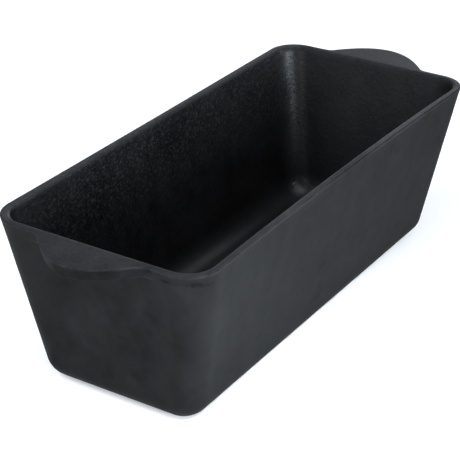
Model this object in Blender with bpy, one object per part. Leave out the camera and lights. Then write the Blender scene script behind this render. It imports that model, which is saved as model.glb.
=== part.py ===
"""Loaf-shaped cast-iron dutch oven pan, open on top.

A drafted rectangular vessel with rounded corners and a thick rim, and a flat
half-moon handle lug standing out from each short end, flush with the rim.

Metres, +Z up.  The origin is the middle of the underside, +X runs along the
length towards the rear lug, and the pan stands on the plane z = 0.
"""

import math

import bmesh
import bpy

# ---- vessel, outside ------------------------------------------------------
RIM_LENGTH = 0.3004  # along X, without the lugs, before its edge is rounded
RIM_WIDTH = 0.1312  # along Y, at the corners, before its edge is rounded
HEIGHT = 0.0977  # underside to rim at the short ends
BASE_LENGTH = 0.2661  # where the drafted walls would meet z = 0
BASE_WIDTH = 0.0961
RIM_CORNER_R = 0.0179  # vertical corners, at the rim
BASE_CORNER_R = 0.0134  # and at the base
BASE_EDGE_R = 0.0097  # round between walls and underside
SIDE_BOW = 0.0017  # the long sides draw in this much at mid-length, at the rim
SIDE_CROWN = 0.0010  # and rise this much

# ---- vessel, inside -------------------------------------------------------
WALL = 0.0046
FLOOR = 0.0050
FLOOR_FILLET_R = 0.0105  # between walls and floor
INNER_RIM_CORNER_R = 0.0140
INNER_BASE_CORNER_R = 0.0130
RIM_OUTER_EDGE_R = 0.0009  # soft edges of the rim's flat band
RIM_INNER_EDGE_R = 0.0017

# ---- handle lugs ----------------------------------------------------------
LUG_REACH = 0.0199  # beyond the end wall, in the middle
LUG_HALF_WIDTH = 0.0315  # half the width of the parabola at the wall
LUG_END = 0.0320  # the lug's solid stops here, either side of the middle
LUG_ROOT_BLEND = 0.0020  # softness of the hollow where outline meets wall
LUG_TIP_THICKNESS = 0.0076
LUG_ROOT_THICKNESS = 0.0064  # of the edge, out at the two ends of the lug
LUG_EDGE_DRAFT = 0.0008  # the edge face leans in by this much, top to bottom
LUG_TOP_EDGE_R = 0.0005
LUG_LOW_EDGE_R = 0.0018
LUG_UNDER_FILLET = 0.0055  # between underside and end wall
LUG_UNDER_SLOPE = 0.0008  # the underside drops this much towards the wall

GAP = 0.0003  # left between lug and wall

# ---- resolution -----------------------------------------------------------
CORNER_STEPS = 8
LONG_SIDE_STEPS = 16
SHORT_SIDE_STEPS = 2
FILLET_STEPS = 6
EDGE_STEPS = 3
LUG_STATIONS = 32

IRON = (0.026, 0.027, 0.028, 1.0)


def lerp(low, high, s):
    return low + (high - low) * s


def wall_half_length(z):
    return lerp(BASE_LENGTH, RIM_LENGTH, z / HEIGHT) / 2


def wall_half_width(z):
    return lerp(BASE_WIDTH, RIM_WIDTH, z / HEIGHT) / 2


def section(z, inset, corner_r):
    """A rounded rectangle at height z, inset from the outer wall, anticlockwise.

    Its long sides carry the bow and the crown in proportion to their height.
    """
    a = wall_half_length(z) - inset
    b = wall_half_width(z) - inset
    r = max(corner_r, 0.0008)
    flat = []
    corners = ((a - r, b - r, 0), (r - a, b - r, 90), (r - a, r - b, 180), (a - r, r - b, 270))
    for index, (cx, cy, start) in enumerate(corners):
        for k in range(CORNER_STEPS + 1):
            t = math.radians(start + 90 * k / CORNER_STEPS)
            flat.append((cx + r * math.cos(t), cy + r * math.sin(t)))
        # From the end of this corner to the start of the next one.
        nx, ny, turn = corners[(index + 1) % 4]
        end = flat[-1]
        t = math.radians(start + 90)
        goal = (nx + r * math.cos(t), ny + r * math.sin(t))
        steps = LONG_SIDE_STEPS if index % 2 == 0 else SHORT_SIDE_STEPS
        for k in range(1, steps):
            flat.append((lerp(end[0], goal[0], k / steps), lerp(end[1], goal[1], k / steps)))
    s = z / HEIGHT
    points = []
    for x, y in flat:
        share = max(0.0, 1 - (x / a) ** 2) * abs(y) / b * s
        points.append((x, y - math.copysign(SIDE_BOW * share, y), z + SIDE_CROWN * share))
    return points


def outer_corner(z):
    return lerp(BASE_CORNER_R, RIM_CORNER_R, z / HEIGHT)


def inner_corner(z):
    return lerp(INNER_BASE_CORNER_R, INNER_RIM_CORNER_R, z / HEIGHT)


def quarter(steps):
    return [math.pi / 2 * k / steps for k in range(steps + 1)]


def vessel_sections():
    """Sections from the middle of the underside, up the outside, over the rim
    and down the inside to the floor."""
    rows = []
    for t in quarter(FILLET_STEPS):
        z = BASE_EDGE_R * (1 - math.cos(t))
        inset = BASE_EDGE_R * (1 - math.sin(t))
        rows.append(section(z, inset, outer_corner(z) - inset))
    for t in quarter(EDGE_STEPS):
        z = HEIGHT - RIM_OUTER_EDGE_R * (1 - math.sin(t))
        inset = RIM_OUTER_EDGE_R * (1 - math.cos(t))
        rows.append(section(z, inset, outer_corner(z) - inset))
    for t in reversed(quarter(EDGE_STEPS)):
        z = HEIGHT - RIM_INNER_EDGE_R * (1 - math.sin(t))
        inset = WALL - RIM_INNER_EDGE_R * (1 - math.cos(t))
        rows.append(section(z, inset, inner_corner(z) + WALL - inset))
    for t in reversed(quarter(FILLET_STEPS)):
        z = FLOOR + FLOOR_FILLET_R * (1 - math.cos(t))
        over = FLOOR_FILLET_R * (1 - math.sin(t))
        rows.append(section(z, WALL + over, inner_corner(z) - over))
    return rows


def lug_reach(y):
    """How far the lug stands out at y: a parabola that runs softly into the wall."""
    p = LUG_REACH * (1 - (y / LUG_HALF_WIDTH) ** 2)
    return (p + math.hypot(p, LUG_ROOT_BLEND)) / 2


def lug_section(y, side):
    """The lug cut across at y, as a ring in the plane of X and Z.

    It runs along the top, down the rounded edge, back along the underside,
    through the fillet and up the wall, one gap clear of it.
    """
    reach = lug_reach(y)
    share = min(1.0, reach / LUG_REACH)
    thick = lerp(LUG_ROOT_THICKNESS, LUG_TIP_THICKNESS, share)
    draft = LUG_EDGE_DRAFT * share
    edge = min(LUG_TOP_EDGE_R, 0.3 * reach)
    low_edge = min(LUG_LOW_EDGE_R, 0.35 * reach)
    fillet = min(LUG_UNDER_FILLET, 0.45 * reach)
    drop = LUG_UNDER_SLOPE * share
    out = RIM_LENGTH / 2
    low = HEIGHT - thick
    ring = [(out + GAP, HEIGHT)]
    for t in quarter(EDGE_STEPS):
        ring.append((out + reach - edge + edge * math.sin(t), HEIGHT - edge + edge * math.cos(t)))
    for t in quarter(EDGE_STEPS):
        ring.append((out + reach - draft - low_edge + low_edge * math.cos(t), low + low_edge - low_edge * math.sin(t)))
    foot = low - drop - fillet  # where the fillet touches the wall
    wall_x = wall_half_length(foot) + GAP
    bend_x = wall_half_length(low - drop) + GAP + fillet
    for t in quarter(EDGE_STEPS + 1):
        ring.append((bend_x - (bend_x - wall_x) * math.sin(t), foot + fillet * math.cos(t)))
    return [(side * x, y, z) for x, z in ring]


def loft(name, rows):
    """One closed body: quads between neighbouring rings and a face on each end."""
    bm = bmesh.new()
    rings = [[bm.verts.new(p) for p in row] for row in rows]
    for low, high in zip(rings, rings[1:]):
        for k in range(len(low)):
            n = (k + 1) % len(low)
            bm.faces.new((low[k], low[n], high[n], high[k]))
    bm.faces.new(list(reversed(rings[0])))
    bm.faces.new(rings[-1])
    bmesh.ops.recalc_face_normals(bm, faces=bm.faces)
    mesh = bpy.data.meshes.new(name)
    bm.to_mesh(mesh)
    bm.free()
    mesh.shade_smooth()
    mesh.set_sharp_from_angle(angle=math.radians(35))
    return mesh


def iron(name, roughness):
    material = bpy.data.materials.new(name)
    material.use_nodes = True
    shader = material.node_tree.nodes["Principled BSDF"]
    shader.inputs["Base Color"].default_value = IRON
    shader.inputs["Roughness"].default_value = roughness
    shader.inputs["Metallic"].default_value = 0.35
    return material


def place(collection, name, rows, roughness, parent):
    piece = bpy.data.objects.new(name, loft(name, rows))
    piece.data.materials.append(iron(name + "_iron", roughness))
    collection.objects.link(piece)
    piece.parent = parent
    return piece


def lug_stations():
    """Places across the lug, closer together near its two ends."""
    return [LUG_END * math.sin(math.pi * (k / LUG_STATIONS - 0.5)) for k in range(LUG_STATIONS + 1)]


def main():
    for old in list(bpy.data.objects):
        bpy.data.objects.remove(old, do_unlink=True)

    collection = bpy.data.collections.new("loaf_dutch_oven")
    bpy.context.scene.collection.children.link(collection)
    casting = bpy.data.objects.new("casting", None)
    casting.empty_display_size = 0.05
    collection.objects.link(casting)

    place(collection, "pan_body", vessel_sections(), 0.62, casting)
    place(collection, "front_handle", [lug_section(y, -1) for y in lug_stations()], 0.55, casting)
    place(collection, "rear_handle", [lug_section(y, 1) for y in lug_stations()], 0.55, casting)


main()
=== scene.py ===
import math

import bpy
import numpy as np
from mathutils import Matrix, Vector, noise


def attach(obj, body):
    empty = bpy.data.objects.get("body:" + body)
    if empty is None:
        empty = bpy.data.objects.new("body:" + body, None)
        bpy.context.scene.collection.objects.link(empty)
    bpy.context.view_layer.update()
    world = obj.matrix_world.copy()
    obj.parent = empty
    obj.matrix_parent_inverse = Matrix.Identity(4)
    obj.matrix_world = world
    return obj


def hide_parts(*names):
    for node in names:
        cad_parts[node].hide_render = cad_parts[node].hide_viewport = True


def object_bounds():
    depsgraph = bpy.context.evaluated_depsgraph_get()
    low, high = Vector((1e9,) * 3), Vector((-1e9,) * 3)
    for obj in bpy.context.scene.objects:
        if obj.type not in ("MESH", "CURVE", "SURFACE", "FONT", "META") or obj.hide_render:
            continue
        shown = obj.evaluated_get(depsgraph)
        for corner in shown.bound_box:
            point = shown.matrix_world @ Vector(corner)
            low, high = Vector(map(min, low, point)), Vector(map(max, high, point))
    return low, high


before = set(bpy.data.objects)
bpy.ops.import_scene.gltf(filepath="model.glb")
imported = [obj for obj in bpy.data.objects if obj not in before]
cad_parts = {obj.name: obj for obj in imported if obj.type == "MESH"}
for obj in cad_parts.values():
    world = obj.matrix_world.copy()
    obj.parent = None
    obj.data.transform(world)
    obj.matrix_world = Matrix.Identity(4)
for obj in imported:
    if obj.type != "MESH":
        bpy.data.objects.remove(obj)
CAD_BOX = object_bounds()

# ---------------------------------------------------------------------------
# Sizes, in metres, the same ones as the CAD solids have
# ---------------------------------------------------------------------------
RIM_LENGTH, RIM_WIDTH, HEIGHT = 0.3004, 0.1312, 0.0977
BASE_LENGTH, BASE_WIDTH = 0.2661, 0.0961
RIM_CORNER_R, BASE_CORNER_R, BASE_EDGE_R = 0.0179, 0.0134, 0.0097
SIDE_BOW, SIDE_CROWN = 0.0017, 0.0010
WALL, FLOOR, FLOOR_FILLET_R = 0.0046, 0.0050, 0.0105
INNER_RIM_CORNER_R, INNER_BASE_CORNER_R = 0.0140, 0.0130
RIM_OUTER_EDGE_R, RIM_INNER_EDGE_R = 0.0009, 0.0017

LUG_REACH, LUG_HALF_WIDTH, LUG_ROOT_BLEND = 0.0199, 0.0315, 0.0020
LUG_TIP_THICKNESS, LUG_ROOT_THICKNESS = 0.0076, 0.0064
LUG_EDGE_DRAFT, LUG_TOP_EDGE_R, LUG_LOW_EDGE_R = 0.0008, 0.0005, 0.0018
LUG_UNDER_FILLET, LUG_UNDER_SLOPE = 0.0055, 0.0008
LUG_ZONE = 0.022  # the rows from here up to the rim follow the lugs

# Columns round the pan, and rows up its walls
LONG_STEPS, END_STEPS, CORNER_STEPS = 130, 84, 12
SHEET_GAP = 0.002  # between the pieces of the flat map


def lerp(low, high, s):
    return low + (high - low) * s


def half_length(z):
    return lerp(BASE_LENGTH, RIM_LENGTH, z / HEIGHT) / 2


def half_width(z):
    return lerp(BASE_WIDTH, RIM_WIDTH, z / HEIGHT) / 2


def outer_corner(z):
    return lerp(BASE_CORNER_R, RIM_CORNER_R, z / HEIGHT)


def inner_corner(z):
    return lerp(INNER_BASE_CORNER_R, INNER_RIM_CORNER_R, z / HEIGHT)


# ---------------------------------------------------------------------------
# The casting: one closed surface, vessel and lugs in one piece
# ---------------------------------------------------------------------------
def end_spacing():
    """Fractions across a short end, closer together where the lugs run into it."""
    fine = np.linspace(-1, 1, 4001)
    y = fine * (RIM_WIDTH / 2 - RIM_CORNER_R)
    weight = 1 + 1.4 * np.exp(-(((np.abs(y) - 0.031) / 0.0035) ** 2))
    total = np.concatenate([[0], np.cumsum((weight[1:] + weight[:-1]) / 2)])
    share = np.interp(np.linspace(0, 1, END_STEPS + 1), total / total[-1], fine)
    return (share + 1) / 2


def columns():
    """Per column: where it stands on the frame of corner centres, and its direction.

    A column's place in plan is (SX * (a - r) + r * CO, SY * (b - r) + r * SI).
    """
    signs = ((1, 1), (-1, 1), (-1, -1), (1, -1))
    rows = []
    for c in range(4):
        here, there = signs[c], signs[(c + 1) % 4]
        for k in range(CORNER_STEPS + 1):
            t = math.radians(90 * c + 90 * k / CORNER_STEPS)
            rows.append((here[0], here[1], math.cos(t), math.sin(t)))
        t = math.radians(90 * (c + 1))
        run = np.linspace(0, 1, LONG_STEPS + 1) if c % 2 == 0 else end_spacing()
        for f in run[1:-1]:
            rows.append((lerp(here[0], there[0], f), lerp(here[1], there[1], f), math.cos(t), math.sin(t)))
    return np.array(rows).T


SX, SY, CO, SI = columns()
N = len(SX)


def ring(z, inset, corner_r):
    """All columns at height z, inset from the outer wall. Each may be one number or one per column."""
    z = np.broadcast_to(np.asarray(z, float), (N,))
    a, b = half_length(z) - inset, half_width(z) - inset
    r = np.maximum(corner_r, 0.0008)
    x, y = SX * (a - r) + r * CO, SY * (b - r) + r * SI
    share = np.clip(1 - (x / a) ** 2, 0, None) * np.abs(y) / b * z / HEIGHT
    return np.stack([x, y - np.sign(y) * SIDE_BOW * share, z + SIDE_CROWN * share], 1)


def quarter(steps):
    return np.linspace(0, math.pi / 2, steps + 1)


def reach_at(y):
    p = LUG_REACH * (1 - (y / LUG_HALF_WIDTH) ** 2)
    return (p + np.hypot(p, LUG_ROOT_BLEND)) / 2


def lug_profile(reach):
    """The outer side of the casting near the rim, cut where the lug stands out by reach.

    Returns (rows, 2): how far each row is outside the drafted wall, and its height.
    The rows are the same in number whatever the reach, so they run right round the pan.
    """
    slope = (RIM_LENGTH - BASE_LENGTH) / 2 / HEIGHT
    share = min(1.0, reach / LUG_REACH)
    thick = lerp(LUG_ROOT_THICKNESS, LUG_TIP_THICKNESS, share)
    draft = lerp(thick * slope, LUG_EDGE_DRAFT, share)  # with no lug, the edge is the wall itself
    low_r = LUG_LOW_EDGE_R * min(1.0, 0.35 * reach / LUG_LOW_EDGE_R)
    fillet = min(LUG_UNDER_FILLET, 0.45 * reach)
    drop = LUG_UNDER_SLOPE * share
    top_r = lerp(RIM_OUTER_EDGE_R, LUG_TOP_EDGE_R, min(1.0, reach / 0.004))

    def wall_x(z):
        return -(HEIGHT - z) * slope

    low = HEIGHT - thick
    pieces = []  # polylines in x (from the rim's reference plane) and z
    foot = low - drop - fillet
    start = HEIGHT - LUG_ZONE
    pieces.append([(wall_x(start), start), (wall_x(foot), foot)])
    bend_x = wall_x(low - drop) + fillet
    pieces.append([(bend_x - (bend_x - wall_x(foot)) * math.cos(t), foot + fillet * math.sin(t)) for t in quarter(12)])
    out = reach - draft
    low_x = max(out - low_r, bend_x)
    pieces.append([(bend_x, low - drop), (low_x, low)])
    pieces.append([(low_x + (out - low_x) * math.sin(t), low + low_r * (1 - math.cos(t))) for t in quarter(12)])
    pieces.append([(out, low + low_r), (reach, HEIGHT - top_r)])
    pieces.append([(reach - top_r * (1 - math.cos(t)), HEIGHT - top_r * (1 - math.sin(t))) for t in quarter(12)])
    counts = (7, 7, 8, 4, 4, 5)
    least = (0, 0.00036, 0.00036, 0.00036, 0.0004, 0)
    line, marks = [pieces[0][0]], [0.0]
    for piece in pieces:
        for p in piece:
            if math.dist(p, line[-1]) > 1e-9:
                line.append(p)
        marks.append(sum(math.dist(p, q) for p, q in zip(line, line[1:])))
    line = np.array(line)
    along = np.concatenate([[0], np.cumsum(np.linalg.norm(np.diff(line, axis=0), axis=1))])
    # Steps, from the top down, so that what is spread out is taken from the plain wall.
    places = [marks[6]]
    for f in (5, 4, 3, 2, 1):
        step = max((marks[f + 1] - marks[f]) / counts[f], least[f])
        for _ in range(counts[f]):
            places.append(places[-1] - step)
    places += list(np.linspace(places[-1], 0, counts[0] + 1)[1:])
    places = np.array(places[::-1])
    x, z = np.interp(places, along, line[:, 0]), np.interp(places, along, line[:, 1])
    return np.stack([x + (HEIGHT - z) * slope, z], 1)


def grid_patch(points, first, offset):
    """Fills a ring of columns with a grid, its corners at the middles of the four corner arcs.

    Returns the new inner points, and quads. first is the ring's first index, offset the next free one.
    """
    half = CORNER_STEPS // 2
    nl, ne = LONG_STEPS + CORNER_STEPS, END_STEPS + CORNER_STEPS
    order = [(half + k) % N for k in range(N)]
    a = [order[k] for k in range(nl + 1)]  # +Y side, from +X to -X
    b = [order[nl + k] for k in range(ne + 1)]  # -X end, from +Y to -Y
    c = [order[nl + ne + k] for k in range(nl + 1)][::-1]  # -Y side, from +X to -X
    d = [order[(2 * nl + ne + k) % N] for k in range(ne + 1)][::-1]  # +X end, from +Y to -Y
    index = np.full((nl + 1, ne + 1), -1)
    index[:, 0], index[:, ne], index[0, :], index[nl, :] = a, c, d, b
    P = points
    u = np.linspace(0, 1, nl + 1)[:, None, None]
    v = np.linspace(0, 1, ne + 1)[None, :, None]
    top, bottom, left, right = P[a][:, None], P[c][:, None], P[d][None], P[b][None]
    grid = (
        (1 - v) * top + v * bottom + (1 - u) * left + u * right
        - ((1 - u) * (1 - v) * P[a[0]] + u * (1 - v) * P[a[-1]] + (1 - u) * v * P[c[0]] + u * v * P[c[-1]])
    )
    inner = grid[1:-1, 1:-1].reshape(-1, 3)
    index = np.where(index >= 0, index + first, index)
    index[1:-1, 1:-1] = offset + np.arange(len(inner)).reshape(nl - 1, ne - 1)
    quads = np.stack([index[:-1, :-1], index[1:, :-1], index[1:, 1:], index[:-1, 1:]], -1).reshape(-1, 4)
    return inner, quads


def side_columns():
    """The columns of each side, from the middle of one corner to the middle of the next: +Y, -X, -Y, +X."""
    sides, start = [], CORNER_STEPS // 2
    for count in (LONG_STEPS, END_STEPS, LONG_STEPS, END_STEPS):
        count += CORNER_STEPS
        sides.append([(start + k) % N for k in range(count + 1)])
        start += count
    return sides


def along(points, axis):
    """Distance run along one axis of a grid of points."""
    steps = np.linalg.norm(np.diff(points, axis=axis), axis=2)
    first = [1 if k == axis else n for k, n in enumerate(steps.shape)]
    return np.concatenate([np.zeros(first), np.cumsum(steps, axis=axis)], axis=axis)


def unrolled(grid, widths):
    """A wall laid flat: across it the run of its rows from the middle column, up it the run of its columns."""
    across = along(widths, 1)
    return np.stack([across - across[:, across.shape[1] // 2, None], along(grid, 0)], 2)


def laid_flat(grid, count, edge_row, inner_row, lug_row, patches):
    """Every face's corners on a flat sheet, in metres, each wall, rim strip and bottom on a piece of its own."""
    flat = np.zeros(((count - 1) * N, 4, 2))
    bound = SHEET_GAP
    tops, ends, sides = [], [], side_columns()

    def lay(columns, first, sheet, left, low):
        """Puts one piece on the sheet, its lower left corner here. Returns where it ends."""
        sheet = sheet - sheet.reshape(-1, 2).min(0) + (left, low)
        k = np.arange(len(columns) - 1)
        for r in range(sheet.shape[0] - 1):
            face = (first + r) * N + np.array(columns[:-1])
            flat[face] = np.stack([sheet[r, k], sheet[r, k + 1], sheet[r + 1, k + 1], sheet[r + 1, k]], 1)
        return sheet.reshape(-1, 2).max(0)

    low = bound
    for half in (0, 1):  # outer walls, long one and end, with the long one's rim strip above it
        long_side, end = sides[2 * half], sides[2 * half + 1]
        outer = grid[: edge_row + 1][:, long_side]
        right, high = lay(long_side, 0, unrolled(outer, outer), bound, low)
        rim = grid[edge_row : inner_row + 1][:, long_side][:, :, :2]
        lay(long_side, edge_row, rim if half else -rim, bound, high + SHEET_GAP)
        outer = grid[: edge_row + 1][:, end]
        widths = outer.copy()
        widths[lug_row:] = outer[lug_row]
        right, high = lay(end, 0, unrolled(outer, widths), right + SHEET_GAP, low)
        edge_of_sheet = right
        low = high + SHEET_GAP
    for half in (0, 1):  # inner walls
        long_side, end = sides[2 * half], sides[2 * half + 1]
        inner = grid[inner_row:][:, long_side]
        right, high = lay(long_side, inner_row, unrolled(inner, inner), bound, low)
        inner = grid[inner_row:][:, end]
        lay(end, inner_row, unrolled(inner, inner), right + SHEET_GAP, low)
        low = high + SHEET_GAP
    left = bound
    for half in (0, 1):  # tops of the ends, with the lugs
        end = sides[2 * half + 1]
        top = grid[edge_row : inner_row + 1][:, end]
        turned = np.stack([top[:, :, 1], -top[:, :, 0]], 2) * (-1 if half else 1)
        left = lay(end, edge_row, turned, left, low)[0] + SHEET_GAP
    pieces = [flat]
    low = bound
    for corners, flip in patches:  # underside and floor
        plan = corners[:, :, 1::-1] * ((1, 1) if flip else (-1, 1))
        plan = plan - plan.reshape(-1, 2).min(0) + (edge_of_sheet + SHEET_GAP, low)
        low = plan[:, :, 1].max() + SHEET_GAP
        pieces.append(plan)
    return np.concatenate(pieces)


def build_casting():
    rows, kinds, shaded_flanks = [], [], []  # kinds: 0 outside, 1 top of rim and lugs, 2 inside

    def add(row, kind, shaded_flank=0.0):
        rows.append(row)
        kinds.append(np.broadcast_to(kind, (N,)))
        shaded_flanks.append(np.broadcast_to(shaded_flank, (N,)))

    for t in quarter(7):
        z, inset = BASE_EDGE_R * (1 - math.cos(t)), BASE_EDGE_R * (1 - math.sin(t))
        add(ring(z, inset, outer_corner(z) - inset), 0.0)
    for z in np.linspace(BASE_EDGE_R, HEIGHT - LUG_ZONE, 37)[1:-1]:
        add(ring(z, 0.0, outer_corner(z)), 0.0)
    # The zone of the lugs, column by column.
    lug_row = len(rows)
    on_end = (np.abs(np.abs(CO) - 1) < 1e-9) & (np.abs(SY) < 1)
    y_top = SY * (RIM_WIDTH / 2 - RIM_CORNER_R)
    fade = np.clip((0.0405 - np.abs(y_top)) / 0.004, 0, 1)
    reach = np.where(on_end, reach_at(y_top) * fade * fade * (3 - 2 * fade), 0.0)
    plain = lug_profile(0.0)
    profiles = np.stack([lug_profile(h) if h > 1e-6 else plain for h in reach], 1)
    # How much painted shade darkens the lugs' edges, and how much duller they are: the face and, under it, the lower
    # rounding.
    face = np.interp(y_top, (-0.006, 0.010, 0.014, 0.022), (1.0, 0.3, 0.6, 2.0)) * np.clip(reach / 0.008, 0, 1)
    under_face = np.interp(y_top, (0.008, 0.022), (2.0, 1.2)) * np.clip(reach / 0.008, 0, 1)
    for k in range(profiles.shape[0]):
        out, z = profiles[k, :, 0], profiles[k, :, 1]
        shaded_flank = lerp(under_face, face, np.interp(k, (24, 27), (0, 1))) * np.interp(k, (20, 22, 30, 32), (0, 1, 1, 0))
        add(ring(z, -out, outer_corner(z) + out), 0.0 if k < profiles.shape[0] - 6 else 0.5, shaded_flank)
    edge_row, edge = len(rows) - 1, rows[-1]
    inner_rows = []
    for t in quarter(5)[::-1]:
        z, inset = HEIGHT - RIM_INNER_EDGE_R * (1 - math.sin(t)), WALL - RIM_INNER_EDGE_R * (1 - math.cos(t))
        inner_rows.append(ring(z, inset, inner_corner(z) + WALL - inset))
    band = 12
    for k in range(1, band):
        add(lerp(edge, inner_rows[0], k / band), 1.0)
    inner_row = len(rows)
    for k, row in enumerate(inner_rows):
        add(row, 1.0 + max(0, k - 2) / (len(inner_rows) - 3))
    for z in np.linspace(HEIGHT - RIM_INNER_EDGE_R, FLOOR + FLOOR_FILLET_R, 45)[1:-1]:
        add(ring(z, WALL, inner_corner(z)), 2.0)
    for t in quarter(8)[::-1]:
        z, over = FLOOR + FLOOR_FILLET_R * (1 - math.cos(t)), FLOOR_FILLET_R * (1 - math.sin(t))
        add(ring(z, WALL + over, inner_corner(z) - over), 2.0)

    grid = np.array(rows)
    points = grid.reshape(-1, 3)
    kind, shaded_flank = np.concatenate(kinds), np.concatenate(shaded_flanks)
    count = len(rows)
    k = np.arange(count - 1)[:, None] * N
    j = np.arange(N)[None, :]
    n = (j + 1) % N
    quads = np.stack([k + j, k + n, k + N + n, k + N + j], -1).reshape(-1, 4)
    under, under_quads = grid_patch(rows[0], 0, len(points))
    points = np.concatenate([points, under])
    floor, floor_quads = grid_patch(rows[-1], (count - 1) * N, len(points))
    points = np.concatenate([points, floor])
    kind = np.concatenate([kind, np.zeros(len(under)), np.full(len(floor), 2.0)])
    shaded_flank = np.concatenate([shaded_flank, np.zeros(len(under) + len(floor))])
    under_quads = under_quads[:, ::-1]
    quads = np.concatenate([quads, under_quads, floor_quads])
    patches = ((points[under_quads], True), (points[floor_quads], False))
    flat = laid_flat(grid, count, edge_row, inner_row, lug_row, patches)
    return points, quads, kind, shaded_flank, flat


def vertex_normals(points, quads):
    p = points[quads]
    across = np.cross(p[:, 2] - p[:, 0], p[:, 3] - p[:, 1])
    total = np.zeros_like(points)
    for k in range(4):
        np.add.at(total, quads[:, k], across)
    return total / np.maximum(np.linalg.norm(total, axis=1, keepdims=True), 1e-20)


def relief(points, normals, kind):
    """Height of the cast surface over the smooth one: slow waves of the mould, and grain inside."""
    inside = np.clip(kind - 1, 0, 1)
    outside = 1 - np.clip(kind * 2, 0, 1)
    high = np.empty(len(points))
    for i, (x, y, z) in enumerate(points):
        wave = noise.noise(Vector((x, y, z)) * 14.0)
        ripple = noise.noise(Vector((x + 3.1, y, z)) * 70.0)
        grain = noise.noise(Vector((x, y + 1.7, z)) * 260.0) if inside[i] > 0 else 0.0
        high[i] = 0.00010 * wave + 0.00003 * ripple * (0.4 + 0.6 * outside[i]) + 0.00004 * grain * inside[i]
    return high


def casting_mesh():
    points, quads, kind, shaded_flank, flat = build_casting()
    normals = vertex_normals(points, quads)
    if normals[np.argmin(points[:, 2])][2] > 0:
        quads, flat, normals = quads[:, ::-1], flat[:, ::-1], -normals
    points = points + normals * relief(points, normals, kind)[:, None]
    low, high = np.array(CAD_BOX[0]), np.array(CAD_BOX[1])
    points = np.clip(points, low, high)
    mesh = bpy.data.meshes.new("loaf_pan_casting")
    mesh.from_pydata(points.tolist(), [], quads.tolist())
    mesh.update()
    mesh.shade_smooth()
    masks = {
        "inside": np.clip(kind - 1, 0, 1),
        "top": 1 - np.clip(np.abs(kind - 1), 0, 1),
        "edge": np.clip(1 - np.abs(kind - 0.5) * 2, 0, 1),
        "shaded_flank": shaded_flank,
    }
    for name, values in masks.items():
        layer = mesh.attributes.new(name, "FLOAT", "POINT")
        layer.data.foreach_set("value", values.astype(np.float32))
    sheet = flat.reshape(-1, 2)
    size = sheet.max() + SHEET_GAP
    uv_map = mesh.uv_layers.new(name="OFBake")
    uv_map.uv.foreach_set("vector", (sheet / size).astype(np.float32).ravel())
    return mesh


# ---------------------------------------------------------------------------
# Material: black seasoned iron, sand cast
# ---------------------------------------------------------------------------
# What each zone is like: colour on the grey scale below, roughness and gloss.
TONE_DARK, TONE_LIGHT = (0.0011, 0.0011, 0.0011), (0.0288, 0.0290, 0.0296)
TONE_OUTSIDE, TONE_INSIDE, TONE_TOP, TONE_EDGE_WEAR_AND_SHEEN = 0.16, 0.185, 0.35, 0.20
ROUGH_OUTSIDE, ROUGH_INSIDE, ROUGH_TOP, ROUGH_EDGE = 0.71, 0.37, 0.60, -0.06
GLOSS_OUTSIDE, GLOSS_INSIDE = 0.095, 0.30
# Relief, in metres, and how many grains go to a metre.
PEBBLE_SCALE, PEBBLE_HEIGHT = 430.0, 0.000095
GRIT_SCALE, GRIT_HEIGHT = 1150.0, 0.000014
SKIN_SCALE, SKIN_HEIGHT = 820.0, 0.000008
SWELL_SCALE, SWELL_HEIGHT = 120.0, 0.000040
GROUND_SCALE, GROUND_HEIGHT = 520.0, 0.000012
# Dull scuffs below the rim, and the corner of the rim that is worn smooth and given a painted highlight: middle and
# half size.
SCUFFS = (
    ((-0.1493, -0.0470, 0.0926), (0.020, 0.0080, 0.0018)),
    ((-0.1493, -0.0585, 0.0928), (0.020, 0.0065, 0.0020)),
    ((-0.1480, -0.0620, 0.0915), (0.020, 0.0040, 0.0014)),
    ((-0.1500, -0.0355, 0.0962), (0.020, 0.0030, 0.0020)),
)
# Spots of painted light and shade, made lighter or darker where the light falls more or less: middle, size, change of
# tone.
LIGHT_AND_SHADE_SPOTS = (
    ((-0.1480, 0.0450, 0.0860), (0.030, 0.030, 0.030), 0.06),
    ((-0.1000, -0.0590, 0.0570), (0.055, 0.020, 0.035), 0.04),
    ((0.1040, -0.0630, 0.0820), (0.050, 0.020, 0.036), -0.08),
    ((0.0200, 0.0586, 0.0840), (0.060, 0.015, 0.020), -0.08),
    ((0.0960, 0.0586, 0.0850), (0.035, 0.015, 0.015), 0.035),
    ((0.0300, 0.0530, 0.0500), (0.035, 0.015, 0.020), -0.04),
    ((0.0800, 0.0550, 0.0640), (0.035, 0.015, 0.020), 0.09),
    ((0.1428, -0.0290, 0.0816), (0.015, 0.030, 0.025), 0.09),
    ((0.1426, 0.0330, 0.0800), (0.015, 0.020, 0.020), -0.045),
    ((0.1326, 0.0460, 0.0240), (0.018, 0.018, 0.035), 0.20),
    ((0.1390, 0.0520, 0.0640), (0.018, 0.018, 0.045), 0.12),
    ((-0.1475, -0.0430, 0.0977), (0.0060, 0.0180, 0.0050), -0.16),
    ((0.1560, 0.0200, 0.0970), (0.0120, 0.0160, 0.0060), 0.08),
    ((-0.1360, -0.0550, 0.0200), (0.016, 0.016, 0.030), 0.035),
)
WORN_HIGHLIGHT_CORNER = ((-0.1470, -0.0636, 0.0973), (0.0066, 0.0042, 0.0012))
LIT_NEAR_CORNER = ((-0.1400, -0.0640, 0.0800), (0.0700, 0.0400, 0.0700))
# Painted shade in the far end's inner corner on the near side: middle and half size.
SHADED_INNER_CORNER = ((0.1410, -0.0550, 0.0920), (0.0140, 0.0140, 0.0120))


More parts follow.
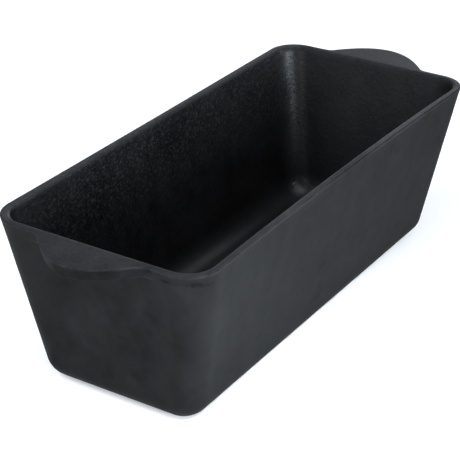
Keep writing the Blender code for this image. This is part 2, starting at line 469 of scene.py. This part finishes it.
class Net:
    """A material's nodes, written as small sums over the surface."""

    def __init__(self, name):
        self.material = bpy.data.materials.new(name)
        self.material.use_nodes = True
        self.nodes, self.links = self.material.node_tree.nodes, self.material.node_tree.links
        self.shader = self.nodes["Principled BSDF"]

    def feed(self, socket, value):
        if isinstance(value, bpy.types.NodeSocket):
            self.links.new(value, socket)
        else:
            socket.default_value = value

    def node(self, kind, inputs=(), **settings):
        made = self.nodes.new(kind)
        for key, value in settings.items():
            setattr(made, key, value)
        for key, value in dict(inputs).items():
            self.feed(made.inputs[key], value)
        return made

    def math(self, operation, a, b=0.0, c=0.0, clamp=False):
        return self.node("ShaderNodeMath", {0: a, 1: b, 2: c}, operation=operation, use_clamp=clamp).outputs[0]

    def add(self, start, *terms):
        """start plus each (value, times) of terms."""
        for value, times in terms:
            start = self.math("MULTIPLY_ADD", value, times, start)
        return start

    def mask(self, name):
        return self.node("ShaderNodeAttribute", attribute_name=name).outputs["Fac"]

    def noise(self, where, scale, detail=2.0, roughness=0.5, distortion=0.0):
        """Between about -1 and 1."""
        made = self.node(
            "ShaderNodeTexNoise",
            {"Vector": where, "Scale": scale, "Detail": detail, "Roughness": roughness, "Distortion": distortion},
        )
        return self.math("MULTIPLY_ADD", made.outputs["Fac"], 2.0, -1.0)

    def over(self, value, low, high):
        """0 where value is under low, 1 where it is over high, smooth between."""
        return self.node(
            "ShaderNodeMapRange",
            {"Value": value, "From Min": low, "From Max": high, "To Min": 0.0, "To Max": 1.0},
            interpolation_type="SMOOTHSTEP",
        ).outputs["Result"]

    def moved(self, where, scale, place=(0, 0, 0)):
        return self.node("ShaderNodeMapping", {"Vector": where, "Location": place, "Scale": scale}).outputs[0]

    def spot(self, where, place, size):
        """1 in the middle of a soft ellipsoid, 0 outside it."""
        near = self.moved(where, [1 / s for s in size], [-p / s for p, s in zip(place, size)])
        return self.over(self.node("ShaderNodeVectorMath", {0: near}, operation="LENGTH").outputs["Value"], 1.0, 0.25)

    def most(self, *values):
        total = values[0]
        for value in values[1:]:
            total = self.math("MAXIMUM", total, value)
        return total

    def ramp(self, value, stops):
        made = self.node("ShaderNodeValToRGB", {"Fac": value})
        elements = made.color_ramp.elements
        while len(elements) < len(stops):
            elements.new(0.5)
        for element, (place, colour) in zip(elements, stops):
            element.position, element.color = place, (*colour, 1)
        return made.outputs["Color"]


def iron_material():
    net = Net("seasoned_iron")
    where = net.node("ShaderNodeTexCoord").outputs["Object"]
    inside, top, edge, shaded_flank = (net.mask(name) for name in ("inside", "top", "edge", "shaded_flank"))
    place = net.node("ShaderNodeSeparateXYZ", {"Vector": where})
    outside = net.math("SUBTRACT", 1.0, net.math("MAXIMUM", inside, top), clamp=True)
    height = place.outputs["Z"]

    facing = net.node("ShaderNodeSeparateXYZ", {"Vector": net.node("ShaderNodeTexCoord").outputs["Normal"]})
    to_side = net.over(net.math("ABSOLUTE", facing.outputs["Y"]), 0.5, 0.9)
    to_end = net.over(net.math("ABSOLUTE", facing.outputs["X"]), 0.4, 0.9)

    blotch = net.noise(where, 24.0, 3.0, 0.5, 0.5)  # seasoning that took unevenly
    cloud = net.noise(net.moved(where, (1, 1, 0.7), (0.3, 0.1, 0.2)), 85.0, 4.0, 0.6, 0.3)
    fine = net.noise(where, 420.0, 3.0, 0.65)
    pebble = net.noise(net.moved(where, (0.8, 1, 1)), PEBBLE_SCALE, 2.0, 0.6, 0.3)
    crumb = net.noise(net.moved(where, (0.7, 1, 1), (0.1, 0.2, 0.3)), 680.0, 2.0, 0.6)
    grit = net.noise(where, GRIT_SCALE, 1.5, 0.5)
    # Dull smudges, where hands or a cloth have been, and scuffs just under the rim.
    smudge = net.over(net.noise(net.moved(where, (1, 1, 1.2), (0.7, 0.4, 0.1)), 60.0, 3.0, 0.55), 0.15, 0.5)
    scuff = net.over(net.noise(net.moved(where, (0.7, 0.7, 2.2), (0.2, 0.5, 0.3)), 170.0, 2.0, 0.55), 0.2, 0.5)
    scuff = net.math("MULTIPLY", scuff, net.over(height, HEIGHT - 0.011, HEIGHT - 0.004))
    rub = net.most(*(net.spot(where, middle, size) for middle, size in SCUFFS))
    rub = net.math("MULTIPLY", rub, net.over(fine, -0.35, 0.1))
    dull = net.math("MULTIPLY", net.most(smudge, scuff), outside)
    # Painted glints: the tops of the coarser sand grain on the long inner walls, lighter towards the rim where the
    # light reaches.
    grain_glint = net.over(net.add(0.0, (crumb, 0.9), (pebble, 0.3), (grit, 0.5)), -0.05, 0.45)
    grain_glint = net.math("MULTIPLY", grain_glint, net.math("MULTIPLY", inside, to_side))
    grain_glint = net.math("MULTIPLY", grain_glint, net.over(height, 0.044, 0.084))
    grain_glint = net.math("MULTIPLY", grain_glint, net.add(0.55, (net.over(place.outputs["X"], -0.13, -0.06), 0.45)))
    # Painted highlight on the worn near corner of the rim, which is also smoother and glossier.
    worn_highlight = net.spot(where, *WORN_HIGHLIGHT_CORNER)
    # Painted light and shade: inside, lighter towards the far end and darker low on the long walls; outside, a painted
    # highlight at the near corner and painted shade towards the base; the rim and lug tops painted lighter at the far
    # end and along the near and far rims.
    inner_light_drift = net.math("MULTIPLY", place.outputs["X"], 0.72)
    deep_shade = net.math("MULTIPLY", net.over(height, 0.080, 0.035), to_side)
    # Painted shade: the outer end walls and long walls darker towards the base.
    end_shade_low = net.math("MULTIPLY", net.over(height, 0.085, 0.0), net.math("MULTIPLY", to_end, outside))
    low = net.math("MULTIPLY", net.over(height, 0.032, 0.0), net.math("MULTIPLY", to_side, outside))
    # Painted highlight over the outside of the near front corner.
    near_corner_light = net.spot(where, *LIT_NEAR_CORNER)
    # Painted light: the rim and lug tops lighter at the far end, along the near rim and along the far rim.
    far_top_light = net.math("MULTIPLY", top, net.over(place.outputs["X"], 0.0, 0.12))
    near_rim_light = net.math("MULTIPLY", top, net.over(place.outputs["Y"], -0.050, -0.058))
    along = net.math("MULTIPLY", net.over(place.outputs["X"], 0.0, 0.045), net.add(1.0, (net.over(place.outputs["X"], 0.08, 0.12), -0.9)))
    middle = net.math("MULTIPLY", net.over(place.outputs["X"], -0.11, -0.06), net.over(place.outputs["X"], -0.005, -0.03))
    near_rim_light = net.math("MULTIPLY", near_rim_light, net.add(along, (middle, 0.42)))
    far_rim_light = net.math("MULTIPLY", top, net.over(place.outputs["Y"], 0.050, 0.056))
    # The far end's lip rolls into the wall without a shine, and its colour is painted lighter there to stand in for
    # light.
    dull_lit_lip = net.math("MULTIPLY", net.over(height, HEIGHT - 0.0003, HEIGHT - 0.0008), net.over(height, HEIGHT - 0.0040, HEIGHT - 0.0017))
    dull_lit_lip = net.math("MULTIPLY", net.math("MULTIPLY", dull_lit_lip, net.over(place.outputs["X"], 0.134, 0.140)), net.over(place.outputs["X"], 0.1490, 0.1476))
    # Painted light: the floor fillet inside is made a little lighter, standing in for the light it catches.
    fillet = net.math("MULTIPLY", inside, net.over(height, FLOOR + 0.014, FLOOR + 0.006))
    # The edge's wear and painted highlight, and its smoothness, are weaker beside the front lug and along the near
    # side, towards the far end.
    matt = net.math("MULTIPLY", net.over(place.outputs["Y"], 0.026, 0.034), net.over(place.outputs["X"], -0.13, -0.146))
    plain = net.math("MULTIPLY", net.over(place.outputs["Y"], -0.050, -0.058), net.over(place.outputs["X"], -0.04, 0.0))
    edge = net.math("MULTIPLY", edge, net.add(1.0, (matt, -0.7), (plain, -0.8)))

    # The ends are the patchiest, the long sides the plainest.
    patchy = net.add(0.0, (blotch, 0.14), (cloud, 0.17), (dull, -0.05), (fine, 0.07))
    amount = net.add(0.75, (net.math("MULTIPLY", to_end, outside), 0.65), (top, 0.6))
    tone = net.math("MULTIPLY_ADD", patchy, amount, TONE_OUTSIDE)
    # The tone takes in here the painted shade on the lugs' flanks and the painted light and highlights of the marks
    # above.
    tone = net.add(tone, (net.math("MINIMUM", shaded_flank, 1.0), -0.05), (rub, -0.16), (worn_highlight, 0.16), (grain_glint, 0.56), (near_corner_light, 0.10), (far_top_light, 0.20), (near_rim_light, 0.54), (far_rim_light, 0.48), (dull_lit_lip, 0.14), (fillet, 0.05))
    # Spots of painted light and shade.
    tone = net.add(tone, *((net.spot(where, middle, size), change) for middle, size, change in LIGHT_AND_SHADE_SPOTS))
    # Painted light and shade: inside lighter towards the far end, the long walls a little darker and darker still low
    # down; outside darker towards the base, and the end walls a little lighter.
    tone = net.add(tone, (net.math("MULTIPLY", inside, net.add(inner_light_drift, (deep_shade, -0.07), (to_side, -0.020))), 1.0), (end_shade_low, -0.09), (low, -0.07), (net.math("MULTIPLY", to_end, outside), 0.035))
    tone = net.add(tone, (net.math("MULTIPLY", net.math("MULTIPLY", inside, net.over(height, 0.02, 0.08)), net.add(blotch, (cloud, 0.6))), 0.08), (net.spot(where, *SHADED_INNER_CORNER), -0.2))
    tone = net.add(tone, (net.math("MULTIPLY", top, fine), 0.38), (net.math("MULTIPLY", top, grit), 0.26))
    # The outer rim edge and the lugs' top edges are lighter: part wear, part painted highlight.
    tone = net.add(tone, (inside, TONE_INSIDE - TONE_OUTSIDE), (top, TONE_TOP - TONE_OUTSIDE), (net.math("MULTIPLY", edge, net.add(1.0, (cloud, 1.2), (fine, 1.0))), TONE_EDGE_WEAR_AND_SHEEN))
    tone = net.math("MULTIPLY_ADD", net.math("MULTIPLY", inside, pebble), 0.10, tone, clamp=True)
    net.feed(net.shader.inputs["Base Color"], net.ramp(tone, [(0.0, TONE_DARK), (1.0, TONE_LIGHT)]))

    rough = net.add(ROUGH_OUTSIDE, (blotch, 0.03), (cloud, -0.02), (fine, 0.03), (dull, 0.02), (shaded_flank, 0.05))
    rough = net.add(rough, (inside, ROUGH_INSIDE - ROUGH_OUTSIDE), (top, ROUGH_TOP - ROUGH_OUTSIDE))
    rough = net.add(rough, (worn_highlight, -0.25), (dull_lit_lip, 0.12))
    rough = net.math("MULTIPLY_ADD", edge, ROUGH_EDGE, rough, clamp=True)
    net.feed(net.shader.inputs["Roughness"], rough)
    gloss = net.add(GLOSS_OUTSIDE, (inside, GLOSS_INSIDE - GLOSS_OUTSIDE), (blotch, 0.01), (dull, -0.01), (worn_highlight, 0.4), (dull_lit_lip, -0.20))
    gloss = net.math("MULTIPLY", gloss, net.add(1.0, (shaded_flank, -0.2), (rub, -0.5)), clamp=True)
    net.feed(net.shader.inputs["Specular IOR Level"], gloss)

    pebbles = net.math("MULTIPLY", net.add(0.0, (pebble, PEBBLE_HEIGHT), (grit, GRIT_HEIGHT)), inside)
    skin = net.noise(where, SKIN_SCALE, 2.0, 0.6)
    sand = net.math("MULTIPLY", net.math("MULTIPLY", skin, SKIN_HEIGHT), outside)
    ground = net.math("MULTIPLY", net.noise(where, GROUND_SCALE, 2.0, 0.6), net.math("MULTIPLY", top, GROUND_HEIGHT))
    swell = net.math("MULTIPLY", net.noise(where, SWELL_SCALE, 2.0, 0.5), SWELL_HEIGHT)
    relief_height = net.math("ADD", net.math("ADD", pebbles, sand), net.math("ADD", ground, swell))
    bump = net.node("ShaderNodeBump", {"Strength": 1.0, "Distance": 1.0, "Height": relief_height})
    net.feed(net.shader.inputs["Normal"], bump.outputs["Normal"])
    return net.material


casting = bpy.data.objects.new("loaf_pan", casting_mesh())
bpy.context.scene.collection.objects.link(casting)
casting.data.materials.append(iron_material())
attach(casting, "root")
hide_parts("pan_body", "front_handle", "rear_handle")


# ---------------------------------------------------------------------------
# Floor, light and camera
# ---------------------------------------------------------------------------
def flat_material(name, colour, glow=0.0):
    material = bpy.data.materials.new(name)
    material.use_nodes = True
    shader = material.node_tree.nodes["Principled BSDF"]
    shader.inputs["Base Color"].default_value = (*colour, 1)
    shader.inputs["Roughness"].default_value = 0.9
    shader.inputs["Specular IOR Level"].default_value = 0.0
    if glow:
        shader.inputs["Emission Color"].default_value = (*colour, 1)
        shader.inputs["Emission Strength"].default_value = glow
    return material


bpy.ops.mesh.primitive_circle_add(vertices=96, radius=5.0, fill_type="NGON", location=(0, 0, -0.0004))
floor = bpy.context.object
floor.name = "studio_floor"
floor.data.materials.append(flat_material("pale_floor", (0.8, 0.8, 0.8), 0.325 / 0.8))

world = bpy.data.worlds.new("studio")
bpy.context.scene.world = world
world.use_nodes = True
world.node_tree.nodes["Background"].inputs["Color"].default_value = (1, 1, 1, 1)
world.node_tree.nodes["Background"].inputs["Strength"].default_value = 0.10

COOL, COOLEST = (0.935, 1.0, 1.09), (0.88, 1.0, 1.15)


def softbox(name, place, aim, size, power, spread=180, colour=COOL):
    light = bpy.data.lights.new(name, "AREA")
    light.shape = "SQUARE"
    light.size = size
    light.energy = power
    light.spread = math.radians(spread)
    light.color = colour
    lamp = bpy.data.objects.new(name, light)
    bpy.context.scene.collection.objects.link(lamp)
    lamp.location = place
    lamp.rotation_euler = (Vector(aim) - Vector(place)).to_track_quat("-Z", "Y").to_euler()
    return lamp


def panel(elevation, azimuth, size, power, colour=COOL):
    """A softbox 1.6 m away, seen from the pan at this elevation and azimuth."""
    e, a = math.radians(elevation), math.radians(azimuth)
    away = Vector((math.cos(a) * math.cos(e), math.sin(a) * math.cos(e), math.sin(e))) * 1.6
    middle = Vector((0, 0, 0.05))
    return softbox(f"panel_{elevation}_{azimuth}", middle + away, middle, size, power, colour=colour)


panel(15, 180, 0.9, 5.2)
panel(45, 0, 0.9, 2.0)
panel(45, 135, 0.9, 20.5)
panel(72, 270, 0.9, 3.0)
panel(90, 0, 0.9, 5.3)
panel(8, 260, 0.4, 14.6, COOLEST)
panel(8, 300, 0.4, 3.0, COOLEST)
panel(8, 15, 0.4, 6.0)
panel(8, 40, 0.4, 2.7)
panel(25, 240, 0.5, 13.8)
softbox("side_softbox", (0.3, -1.2, 0.10), (0.0, -0.05, 0.05), 0.5, 1.9, colour=COOLEST)
softbox("floor_spot_near", (-0.25, -0.40, 0.55), (-0.20, -0.16, 0), 0.12, 0.43, 50)
softbox("floor_spot_side", (-0.05, -0.45, 0.55), (-0.05, -0.20, 0), 0.12, 0.22, 50)

FOCAL_PX, CENTRE_X, CENTRE_Y, FRAME_PX = 1591.1, 203.89, 231.46, 460
camera_data = bpy.data.cameras.new("camera")
camera_data.sensor_width = 36
camera_data.lens = FOCAL_PX * 36 / FRAME_PX
camera_data.shift_x = (FRAME_PX / 2 - CENTRE_X) / FRAME_PX
camera_data.shift_y = (CENTRE_Y - FRAME_PX / 2) / FRAME_PX
camera_data.clip_start, camera_data.clip_end = 0.01, 50
camera = bpy.data.objects.new("camera", camera_data)
bpy.context.scene.collection.objects.link(camera)
turn = Vector((1.85101, -1.00523, 0.60705))
view = Matrix.Rotation(turn.length, 3, turn.normalized())  # world to camera: right, down, forward
camera.matrix_world = Matrix.Translation((-0.69304, -0.42234, 0.46300)) @ (
    Matrix((view[0], -view[1], -view[2])).transposed().to_4x4()
)
bpy.context.scene.camera = camera
bpy.context.scene.view_settings.view_transform = "Standard"
